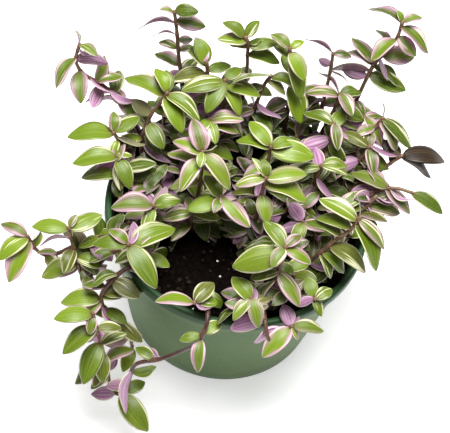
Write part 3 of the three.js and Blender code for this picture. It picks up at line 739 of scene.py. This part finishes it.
def leaf_material():
    """Green with a thin cream margin and fine veins above, some blushed pink or striped; lilac below. Painted
    light and shade: each leaf is painted darker or brighter by its brightness value, and some are painted
    near-black as shade.
    """
    n = Nodes("variegated_leaf")
    t, s, side = n.attribute("blade")
    painted_light_and_tone, pink, seed = n.attribute("look")
    edge = n.math("ABSOLUTE", s)
    dark = n.step(painted_light_and_tone, 0.0, -0.5)
    own = n.math("MULTIPLY", seed, 43.0)
    streak = n.noise(1.0, 2.0, n.vector(n.math("MULTIPLY", s, 3.2), n.math("MULTIPLY", t, 0.7), own))
    veins = n.noise(1.0, 1.0, n.vector(n.math("MULTIPLY", s, 13.0), n.math("MULTIPLY", t, 0.5), own))
    half = n.vector(n.math("MULTIPLY", t, 1.2), n.math("SIGN", s), n.math("MULTIPLY", seed, 90.0))
    drift = n.noise(1.0, 1.0, half)
    striped = n.step(n.math("FRACT", n.math("MULTIPLY", seed, 7.0)), 0.3, 0.45)
    bands = n.math("MULTIPLY", n.step(streak, 0.585, 0.64), n.step(edge, 0.02, 0.3))
    stripes = n.math("MULTIPLY", bands, striped)
    rosy = n.step(pink, 0.55, 1.0)
    rim = n.math("MULTIPLY_ADD", n.math("SUBTRACT", drift, 0.5), 0.4, n.math("MULTIPLY_ADD", rosy, -0.1, 0.85))
    margin = n.step(edge, rim, n.math("ADD", rim, 0.035))
    pale = n.math("MAXIMUM", stripes, margin)
    mottle = n.noise(700, 3)
    # painted light and shade: dark green for leaves painted shaded, bright green for leaves painted lit
    green = n.mix(painted_light_and_tone, (0.028, 0.065, 0.004), (0.16, 0.255, 0.009))
    green = n.mix(n.step(seed, 0.82, 0.97), green, (0.1, 0.1, 0.02))
    green = n.mix(n.math("MULTIPLY", n.step(mottle, 0.35, 0.7), 0.25), green, (0.21, 0.28, 0.012))
    green = n.mix(n.math("MULTIPLY", n.step(veins, 0.5, 0.6), 0.45), green, (0.31, 0.39, 0.06))
    green = n.mix(n.math("MULTIPLY", n.step(t, 0.22, 0.0), 0.6), green, (0.16, 0.12, 0.04))
    light = n.mix(n.step(pink, 0.5, 0.9), (0.84, 0.82, 0.5), (0.78, 0.52, 0.58))
    light = n.mix(n.step(streak, 0.6, 0.75), light, (0.88, 0.85, 0.62))
    wash = n.math("MULTIPLY", n.step(pink, 0.5, 0.85), n.step(drift, 0.38, 0.56))
    blush = n.math("MULTIPLY", wash, n.step(edge, 0.15, 0.85))
    lilac = n.mix(n.step(veins, 0.4, 0.65), (0.46, 0.22, 0.32), (0.7, 0.44, 0.56))
    top = n.mix(n.math("MULTIPLY", blush, 0.9), green, lilac)
    top = n.mix(pale, top, light)
    under = n.mix(n.step(veins, 0.4, 0.62), (0.33, 0.13, 0.26), (0.64, 0.4, 0.56))
    under = n.mix(n.math("MULTIPLY", margin, 0.6), under, (0.74, 0.62, 0.66))
    under = n.mix(n.step(pink, 0.25, 0.0), under, (0.2, 0.22, 0.06))
    base = n.mix(n.step(side, 0.4, 0.6), under, top)
    # painted shade: the whole colour dimmed down to 0.6 on the most shaded leaves
    base = n.mix(1.0, base, n.mix(painted_light_and_tone, (0.6, 0.6, 0.6), (1.0, 1.0, 1.0)), "MULTIPLY")
    # painted shade: near-black leaves with faint brown veins
    base = n.mix(dark, base, n.mix(n.step(veins, 0.5, 0.65), (0.018, 0.01, 0.005), (0.07, 0.045, 0.022)))
    base = n.mix(n.step(t, -0.2, -0.8), base, (0.12, 0.05, 0.035))
    ridges = n.noise(1.0, 3.0, n.vector(n.math("MULTIPLY", s, 16.0), n.math("MULTIPLY", t, 3.0), seed))
    n.bump(ridges, 0.35, 0.0004)
    return n.set(Base_Color=base, Roughness=0.36, Specular_IOR_Level=0.4)


def stem_material():
    """Maroon-brown, greener towards the tip, with a paler ring at each leaf."""
    n = Nodes("maroon_stem")
    along, swell, _ = n.attribute("blade")
    grain = n.noise(700, 4)
    base = n.mix(n.step(along, 0.35, 1.0), (0.055, 0.02, 0.014), (0.19, 0.115, 0.05))
    base = n.mix(n.math("MULTIPLY", n.step(grain, 0.45, 0.7), 0.5), base, (0.17, 0.085, 0.055))
    base = n.mix(n.math("MULTIPLY", swell, 0.35), base, (0.2, 0.11, 0.08))
    n.bump(grain, 0.3, 0.0003)
    return n.set(Base_Color=base, Roughness=0.42)


def pot_material():
    """Green nursery plastic, scuffed lighter on the wall, with its lip and rim painted a darker green as
    painted shade.
    """
    n = Nodes("green_plastic")
    cloud = n.noise(14, 4)
    scuff = n.noise(260, 5, roughness=0.65)
    height = n.tree.nodes.new("ShaderNodeSeparateXYZ")
    n.tree.links.new(n.tree.nodes.new("ShaderNodeTexCoord").outputs["Object"], height.inputs[0])
    up = height.outputs[2]
    base = n.mix(n.step(cloud, 0.35, 0.7), (0.047, 0.105, 0.02), (0.07, 0.132, 0.03))
    base = n.mix(n.math("MULTIPLY", n.step(scuff, 0.55, 0.75), 0.3), base, (0.1, 0.17, 0.055))
    # painted shade: darker green from 93.5 mm up, over the lip and rim
    base = n.mix(n.step(up, 0.0935, 0.0955), base, (0.018, 0.06, 0.016))
    base = n.mix(n.math("SUBTRACT", 1.0, n.step(up, 0.0, 0.006)), base, (0.06, 0.1, 0.045))
    n.bump(scuff, 0.12, 0.0004)
    return n.set(Base_Color=base, Roughness=n.math("MULTIPLY_ADD", scuff, 0.25, 0.38), Specular_IOR_Level=0.3)


def soil_material():
    n = Nodes("potting_mix")
    crumbs = n.noise(420, 6, roughness=0.7)
    base = n.mix(n.step(crumbs, 0.4, 0.75), (0.0016, 0.001, 0.0007), (0.01, 0.006, 0.004))
    n.bump(crumbs, 0.9, 0.0015)
    return n.set(Base_Color=base, Roughness=0.9, Specular_IOR_Level=0.04)


def crumb_material(name, dark, light):
    n = Nodes(name)
    grain = n.noise(1200, 4)
    n.bump(grain, 0.5, 0.0005)
    return n.set(Base_Color=n.mix(n.step(grain, 0.35, 0.65), dark, light), Roughness=0.85,
                 Specular_IOR_Level=0.15)


# ---------------------------------------------------------------- the pot and the soil

def wall_radius(height):
    top = RIM_RADIUS - 2
    return FOOT_RADIUS + (top - FOOT_RADIUS) * height / POT_HEIGHT


def make_pot(material):
    under = POT_HEIGHT - LIP_HEIGHT
    inner = RIM_RADIUS - LIP_WIDTH
    profile = [(0, 0), (34, 0), (35, 0.4), (36, 2.6), (36.6, 3), (49.6, 3), (50, 2.6), (50.7, 0.3), (51.2, 0),
               (FOOT_RADIUS - 1.6, 0), (FOOT_RADIUS - 0.5, 0.3), (wall_radius(1.4), 1.6)]
    profile += [(wall_radius(h), h) for h in (8, 20, 35, 50, 65, 80, under - 1)]
    profile += [(wall_radius(under) + 0.3, under - 0.1), (RIM_RADIUS - 1.0, under)]
    profile += [(RIM_RADIUS - 0.3, under + 0.4), (RIM_RADIUS, under + 1.2), (RIM_RADIUS, POT_HEIGHT - 1.8)]
    profile += [(RIM_RADIUS - 0.35, POT_HEIGHT - 0.7), (RIM_RADIUS - 1.2, POT_HEIGHT - 0.1)]
    profile += [(RIM_RADIUS - 2, POT_HEIGHT), (inner + 1.0, POT_HEIGHT - 0.1), (inner + 0.2, POT_HEIGHT - 0.7)]
    profile += [(inner, POT_HEIGHT - 1.8), (wall_radius(under) - WALL, under - 1)]
    profile += [(wall_radius(h) - WALL, h) for h in (80, 50, 20, 6)]
    profile += [(wall_radius(4.8) - WALL - 1, 4.8), (0, 4.8)]
    vertices, faces = lathe(profile, 128)
    piece = add_piece("pot_shell", vertices, faces, material, ["pot"])
    holes = []
    for i in range(4):
        angle = math.tau * i / 4
        place = (43 * MM * math.cos(angle), 43 * MM * math.sin(angle), 4 * MM)
        bpy.ops.mesh.primitive_cylinder_add(vertices=24, radius=6 * MM, depth=14 * MM, location=place)
        holes.append(bpy.context.object)
    cut_holes(piece, holes)


def cut_holes(piece, holes):
    """Cuts the drain holes for good, so that no cutter stays in the scene."""
    for hole in holes:
        cut = piece.modifiers.new("drain", "BOOLEAN")
        cut.object = hole
        cut.operation = "DIFFERENCE"
        cut.solver = "EXACT"
    bpy.context.view_layer.update()
    shape = bpy.data.meshes.new_from_object(piece.evaluated_get(bpy.context.evaluated_depsgraph_get()))
    piece.modifiers.clear()
    piece.data = shape
    for hole in holes:
        bpy.data.objects.remove(hole)


def soil_height(x, y):
    """The crumbly surface's height above the table, in millimetres."""
    r = math.hypot(x, y)
    lumps = 0.9 * math.sin(x * 0.31 + 1.3) * math.cos(y * 0.27) + 0.6 * math.sin(x * 0.83 + y * 0.61)
    return SOIL_TOP + 2 * max(0.0, 1 - r / 60) + 0.8 * lumps * max(0.0, 1 - r / 90)


def make_soil(material):
    rng = random.Random(11)
    edge = wall_radius(SOIL_TOP - 2) - WALL - 0.6
    rings, sides = 34, 96
    vertices = [(0, 0, soil_height(0, 0))]
    for i in range(1, rings + 1):
        r = edge * i / rings
        for k in range(sides):
            angle = math.tau * k / sides
            x, y = r * math.cos(angle), r * math.sin(angle)
            rough = rng.uniform(-0.45, 0.45) if i < rings else -1.2
            vertices.append((x, y, soil_height(x, y) + rough))
    low = wall_radius(5.2) - WALL - 1.6
    for k in range(sides):
        angle = math.tau * k / sides
        vertices.append((low * math.cos(angle), low * math.sin(angle), 5.2))
    faces = [(0, 1 + k, 1 + (k + 1) % sides) for k in range(sides)]
    for i in range(rings):
        first = 1 + i * sides
        for k in range(sides):
            n = (k + 1) % sides
            faces.append((first + k, first + sides + k, first + sides + n, first + n))
    last = 1 + rings * sides
    faces.append([last + k for k in reversed(range(sides))])
    add_piece("soil_bed", vertices, faces, material, ["soil"])


def make_crumbs(name, count, sizes, material, seed):
    """Loose bits scattered over the soil, each a rough little lump."""
    rng = random.Random(seed)
    build = Build()
    for _ in range(count):
        r, angle = 66 * math.sqrt(rng.random()), rng.uniform(0, math.tau)
        x, y = r * math.cos(angle), r * math.sin(angle)
        size = rng.uniform(*sizes)
        centre = Vector((x, y, soil_height(x, y) + size * 0.35))
        tilt = Vector((rng.uniform(-1, 1), rng.uniform(-1, 1), rng.uniform(0.2, 1))).normalized()
        shares = ((-0.9, 0.35), (-0.4, 0.9), (0.3, 1.0), (0.85, 0.4))
        rows = [ring(centre + tilt * size * h, tilt, size * w * rng.uniform(0.7, 1.2), 6, (0, 0, 0))
                for h, w in shares]
        build.loops(rows, (0, 0, 0))
    add_piece(name, build.vertices, build.faces, material)


# ---------------------------------------------------------------- the plant

def make_plant(leaf_look, stem_look):
    for crown, members in CROWNS.items():
        stems = Build()
        for name, shoot in members.items():
            if name == "root":
                continue
            rng = random.Random(name)
            stem = Stem(members["root"], shoot["route"])
            listed = shoot["leaves"]
            fillers = filler_leaves(stem, listed, rng)
            add_stem(stems, stem, [leaf[0] for leaf in listed + fillers])
            blades = Build()
            for leaf in listed:
                if math.hypot(*stem.at(leaf[0])[0].xy) < RIM_RADIUS - 2 and not clears_wall(stem, leaf):
                    continue
                add_leaf(blades, stem, leaf, rng, *PAINTED_LIGHT_AND_PINK.get(name, (0.8, 0.0)))
            for leaf in fillers:
                # painted light: fillers that hang outside the pot are painted bright, the rest painted shaded
                add_leaf(blades, stem, leaf, rng, 0.7 if hangs(stem.at(leaf[0])[0]) else SHADED)
            add_piece("foliage_" + name, blades.vertices, blades.faces, leaf_look, ["leaves_" + name],
                      blades.points)
        add_piece("stalks_" + crown, stems.vertices, stems.faces, stem_look, ["stems_" + crown],
                  stems.points)


def make_undergrowth(leaf_look, stem_look):
    """Short young shoots that fill the crowd between the tall ones."""
    rng = random.Random(23)
    stems, blades = Build(), Build()
    for x, y in undergrowth_spots(rng):
        rise = rng.uniform(12, 27)
        lean = Vector((x, y, 0)) * 0.12 + Vector((rng.uniform(-5, 5), rng.uniform(-5, 5), 0))
        tip = Vector((x, y, SOIL_TOP + rise)) + lean
        middle = Vector((x, y, SOIL_TOP + rise * 0.5)) + lean * 0.3
        stem = Stem((x, y), [tuple(middle), tuple(tip)])
        turn = rng.uniform(0, 360)
        leaves = [[0, turn, 30, 11], [1, turn + 180, 20, 13]]
        from_tip = 3.0
        while from_tip < stem.length - 8:
            turn += 180 + rng.uniform(-70, 70)
            roll = rng.choice((0, 0, 20, 60, 150))
            leaves.append([from_tip, turn, rng.uniform(-20, 10), rng.uniform(14, 20), roll])
            from_tip += rng.uniform(3, 4.5)
        add_stem(stems, stem, [leaf[0] for leaf in leaves])
        for leaf in leaves:
            if clears_wall(stem, leaf):
                # painted shade: undergrowth leaves are painted dim, like the crowd's
                add_leaf(blades, stem, leaf, rng, SHADED)
    add_piece("undergrowth_leaves", blades.vertices, blades.faces, leaf_look, points=blades.points)
    add_piece("undergrowth_stems", stems.vertices, stems.faces, stem_look, points=stems.points)


# ---------------------------------------------------------------- the studio

def make_floor():
    bpy.ops.mesh.primitive_plane_add(size=6, location=(0, 0, -0.0002))
    floor = bpy.context.object
    floor.name = "studio_floor"
    n = Nodes("white_paper")
    floor.data.materials.append(n.set(Base_Color=(0.93, 0.93, 0.93), Roughness=1.0, Specular_IOR_Level=0.0,
                                      Emission_Color=(1.0, 1.0, 1.0, 1.0), Emission_Strength=0.5))


def add_area(name, location, size, watts, target=(0, 0, 0.09)):
    light = bpy.data.lights.new(name, "AREA")
    light.shape = "DISK"
    light.size = size
    light.energy = watts
    lamp = bpy.data.objects.new(name, light)
    lamp.location = location
    lamp.rotation_euler = (Vector(target) - Vector(location)).to_track_quat("-Z", "Y").to_euler()
    bpy.context.scene.collection.objects.link(lamp)


def make_light():
    world = bpy.data.worlds.new("studio")
    bpy.context.scene.world = world
    world.use_nodes = True
    background = world.node_tree.nodes["Background"]
    background.inputs["Color"].default_value = (1, 1, 1, 1)
    background.inputs["Strength"].default_value = 0.2
    add_area("key", (0.0, 0.07, 1.3), 0.8, 28.5)


def make_camera():
    """Looks down from in front, a little from the left, tilted as the picture was framed."""
    azimuth, elevation, roll = math.radians(-12), math.radians(56.6), math.radians(10.7)
    target = Vector((-7.6, -4.5, 100)) * MM
    right = Vector((math.cos(azimuth), math.sin(azimuth), 0))
    ahead = Vector((-math.sin(azimuth), math.cos(azimuth), 0))
    back = Vector((0, 0, 1)) * math.sin(elevation) - ahead * math.cos(elevation)
    up = back.cross(right)
    turned_right = right * math.cos(roll) + up * math.sin(roll)
    turned_up = up * math.cos(roll) - right * math.sin(roll)
    data = bpy.data.cameras.new("camera")
    data.sensor_width = 36
    data.lens = 113.97
    data.clip_start = 0.01
    camera = bpy.data.objects.new("camera", data)
    matrix = Matrix((turned_right, turned_up, back)).transposed().to_4x4()
    matrix.translation = target + back * 0.8
    camera.matrix_world = matrix
    bpy.context.scene.collection.objects.link(camera)
    bpy.context.scene.camera = camera


def main():
    make_pot(pot_material())
    make_soil(soil_material())
    perlite = crumb_material("perlite", (0.6, 0.59, 0.55), (0.85, 0.84, 0.8))
    bark = crumb_material("bark", (0.006, 0.0035, 0.002), (0.025, 0.015, 0.009))
    make_crumbs("perlite", 45, (0.5, 1.1), perlite, 5)
    make_crumbs("bark", 160, (0.7, 1.7), bark, 6)
    leaf_look, stem_look = leaf_material(), stem_material()
    make_plant(leaf_look, stem_look)
    make_undergrowth(leaf_look, stem_look)
    make_floor()
    make_light()
    make_camera()
    bpy.context.scene.view_settings.view_transform = "Standard"


main()
